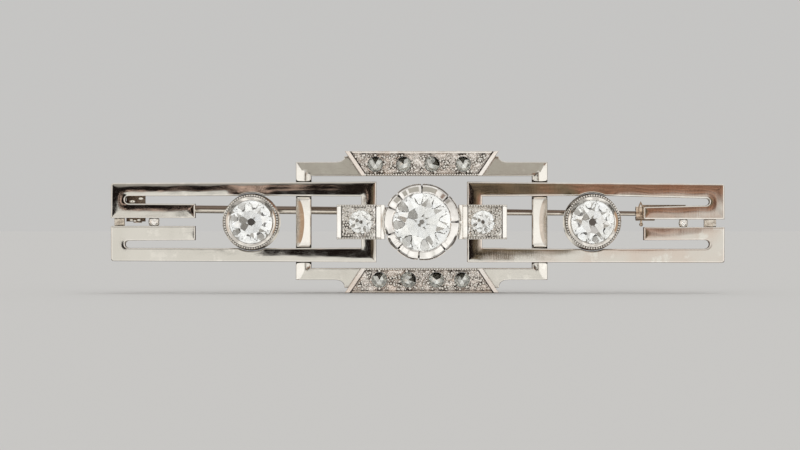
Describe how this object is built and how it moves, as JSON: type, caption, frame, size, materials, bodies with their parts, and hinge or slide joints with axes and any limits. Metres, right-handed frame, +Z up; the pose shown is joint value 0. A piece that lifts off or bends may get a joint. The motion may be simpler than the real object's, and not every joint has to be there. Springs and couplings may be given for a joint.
{
  "type": "bar brooch",
  "caption": "Open-work bar brooch in white gold with old-cut and rose-cut diamonds, a hinged pin and a turning safety catch on the back.",
  "frame": {"origin": "centre of the whole brooch's box, 0.4 mm to the left of the centre stone's axis", "axes": "+X along the bar to the right seen from the front, +Z up as worn, -Y out of the front through the stones, +Y out of the back"},
  "size_m": [0.0614, 0.0066, 0.0142],
  "materials": {
    "polished_gold": "polished white gold, bright edges, fine wear scratches",
    "frame_gold": "filed and polished white gold, faintly satin flats",
    "pave_gold": "bright-cut, grained and milgrained white gold",
    "satin_gold": "unpolished white gold with a warm tone",
    "fitting_gold": "warm worn gold",
    "pin_gold": "drawn and burnished wire",
    "diamond": "old-cut facets, open culet",
    "rose_diamond": "rose-cut facets, flat back"
  },
  "bodies": {
    "brooch": {"left_wing": "polished_gold", "right_wing": "polished_gold", "left_bead": "polished_gold", "right_bead": "polished_gold", "left_collet": "polished_gold", "right_collet": "polished_gold", "left_box": "polished_gold", "right_box": "polished_gold", "centre_coronet": "polished_gold", "centre_frame": "frame_gold", "top_pave_bar": "pave_gold", "bottom_pave_bar": "pave_gold", "left_bridge": "satin_gold", "right_bridge": "satin_gold", "coronet_base_ring": "satin_gold", "hinge_joint": "fitting_gold", "hinge_rivet": "fitting_gold", "catch_body": "fitting_gold", "centre_diamond": "diamond", "left_diamond": "diamond", "right_diamond": "diamond", "left_box_diamond": "diamond", "right_box_diamond": "diamond", "top_rose_1": "rose_diamond", "top_rose_2": "rose_diamond", "top_rose_3": "rose_diamond", "top_rose_4": "rose_diamond", "bottom_rose_1": "rose_diamond", "bottom_rose_2": "rose_diamond", "bottom_rose_3": "rose_diamond", "bottom_rose_4": "rose_diamond"},
    "pin": {"pin_stem": "pin_gold"},
    "sleeve": {"catch_sleeve": "fitting_gold"}
  },
  "joints": [
    {"name": "pin_swing", "type": "hinge", "parent": "brooch", "child": "pin", "pos_m": [-0.0283, 0.00262, 0.00135], "axis": [0, 0, 1], "range_deg": [0, 75]},
    {"name": "catch_turn", "type": "hinge", "parent": "brooch", "child": "sleeve", "pos_m": [0.023, 0.00262, 0.00085], "axis": [1, 0, 0], "range_deg": [0, 90]}
  ]
}
